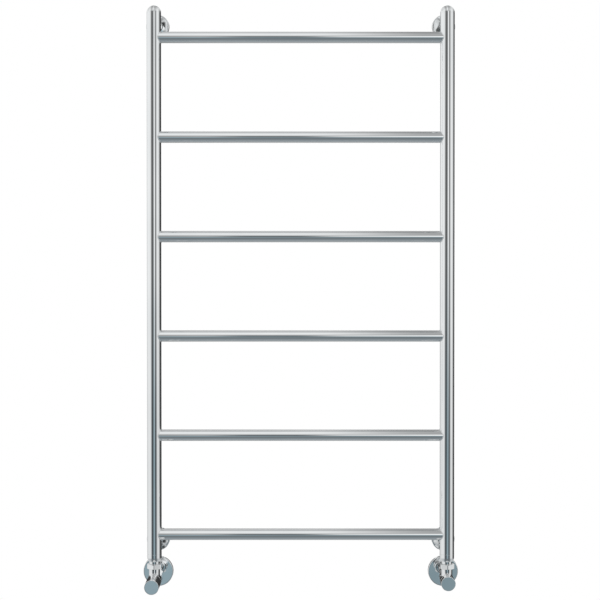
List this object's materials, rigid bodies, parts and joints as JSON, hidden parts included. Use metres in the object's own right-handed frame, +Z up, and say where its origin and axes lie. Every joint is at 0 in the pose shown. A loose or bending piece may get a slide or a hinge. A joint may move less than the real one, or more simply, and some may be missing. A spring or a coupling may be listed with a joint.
{
  "type": "towel warmer rack",
  "caption": "Wall-hung ladder towel rail in polished chrome: round uprights and rungs on round wall posts, with an angle control valve and a lockshield valve below.",
  "frame": {"origin": "on the finished wall, midway between the two supply pipes and level with their axes", "axes": "+X along the rungs to the right as seen from the room, +Y into the wall, +Z up the uprights"},
  "size_m": [0.632, 0.1679, 1.152],
  "materials": {
    "polished_tube": "mirror polished, faint tube-drawing lines",
    "polished_fittings": "mirror polished chrome plate",
    "zinc_steel": "dull zinc plate",
    "stainless_fixings": "turned stainless steel",
    "brass": "machined",
    "rubber": "matt"
  },
  "bodies": {
    "root": {"upright_left": "polished_tube", "top_cap_left": "polished_tube", "bottom_cap_left": "polished_tube", "upright_right": "polished_tube", "top_cap_right": "polished_tube", "bottom_cap_right": "polished_tube", "rung_1": "polished_tube", "rung_2": "polished_tube", "rung_3": "polished_tube", "rung_4": "polished_tube", "rung_5": "polished_tube", "rung_6": "polished_tube", "vent_boss": "polished_tube", "vent_plug": "polished_fittings", "bracket_base_top_left": "zinc_steel", "bracket_screw_top_left": "zinc_steel", "bracket_post_top_left": "polished_fittings", "bracket_grub_top_left": "stainless_fixings", "bracket_base_top_right": "zinc_steel", "bracket_screw_top_right": "zinc_steel", "bracket_post_top_right": "polished_fittings", "bracket_grub_top_right": "stainless_fixings", "bracket_base_bottom_left": "zinc_steel", "bracket_screw_bottom_left": "zinc_steel", "bracket_post_bottom_left": "polished_fittings", "bracket_grub_bottom_left": "stainless_fixings", "bracket_base_bottom_right": "zinc_steel", "bracket_screw_bottom_right": "zinc_steel", "bracket_post_bottom_right": "polished_fittings", "bracket_grub_bottom_right": "stainless_fixings", "control_supply_pipe": "polished_fittings", "control_compression_nut": "polished_fittings", "control_olive": "brass", "control_body": "polished_fittings", "control_union_nut": "polished_fittings", "control_tail": "polished_fittings", "control_bonnet": "brass", "control_spindle_seal": "rubber", "lockshield_supply_pipe": "polished_fittings", "lockshield_compression_nut": "polished_fittings", "lockshield_olive": "brass", "lockshield_body": "polished_fittings", "lockshield_union_nut": "polished_fittings", "lockshield_tail": "polished_fittings", "lockshield_bonnet": "brass", "lockshield_spindle_seal": "rubber"},
    "control_head": {"control_knob": "polished_fittings", "control_spindle": "brass", "control_knob_screw": "stainless_fixings"},
    "control_closer": {"control_plug": "brass"},
    "lockshield_cover": {"lockshield_cap": "polished_fittings"},
    "lockshield_stem": {"lockshield_spindle": "brass"},
    "lockshield_closer": {"lockshield_plug": "brass"},
    "control_rose": {"control_wall_rose": "polished_fittings"},
    "lockshield_rose": {"lockshield_wall_rose": "polished_fittings"},
    "bleeder": {"bleed_screw": "brass"},
    "rose_top_left": {"bracket_rose_top_left": "polished_fittings"},
    "rose_top_right": {"bracket_rose_top_right": "polished_fittings"},
    "rose_bottom_left": {"bracket_rose_bottom_left": "polished_fittings"},
    "rose_bottom_right": {"bracket_rose_bottom_right": "polished_fittings"}
  },
  "joints": [
    {"name": "control_turn", "type": "hinge", "parent": "root", "child": "control_head", "pos_m": [-0.286, -0.08, 0], "axis": [0, -1, 0], "range_deg": [0, 900]},
    {"name": "control_lift", "type": "slide", "parent": "root", "child": "control_closer", "axis": [0, -1, 0], "range_m": [0, 0.00376]},
    {"name": "lockshield_cap_pull", "type": "slide", "parent": "root", "child": "lockshield_cover", "axis": [0, -1, 0], "range_m": [0, 0.02]},
    {"name": "lockshield_turn", "type": "hinge", "parent": "root", "child": "lockshield_stem", "pos_m": [0.286, -0.08, 0], "axis": [0, -1, 0], "range_deg": [0, 900]},
    {"name": "lockshield_lift", "type": "slide", "parent": "root", "child": "lockshield_closer", "axis": [0, -1, 0], "range_m": [0, 0.00375]},
    {"name": "control_rose_slide", "type": "slide", "parent": "root", "child": "control_rose", "axis": [0, -1, 0], "range_m": [0, 0.029]},
    {"name": "lockshield_rose_slide", "type": "slide", "parent": "root", "child": "lockshield_rose", "axis": [0, -1, 0], "range_m": [0, 0.029]},
    {"name": "bleed_turn", "type": "hinge", "parent": "root", "child": "bleeder", "pos_m": [-0.286, -0.05, 1.05804], "axis": [0, 1, 0], "range_deg": [0, 360]},
    {"name": "rose_slide_top_left", "type": "slide", "parent": "root", "child": "rose_top_left", "axis": [0, -1, 0], "range_m": [0, 0.056]},
    {"name": "rose_slide_top_right", "type": "slide", "parent": "root", "child": "rose_top_right", "axis": [0, -1, 0], "range_m": [0, 0.056]},
    {"name": "rose_slide_bottom_left", "type": "slide", "parent": "root", "child": "rose_bottom_left", "axis": [0, -1, 0], "range_m": [0, 0.056]},
    {"name": "rose_slide_bottom_right", "type": "slide", "parent": "root", "child": "rose_bottom_right", "axis": [0, -1, 0], "range_m": [0, 0.056]}
  ],
  "couplings": [
    {"joint": "control_lift", "follows": "control_turn", "m_per_rad": 0.00023873},
    {"joint": "lockshield_turn", "follows": "lockshield_lift", "rad_per_m": 4188.8}
  ]
}
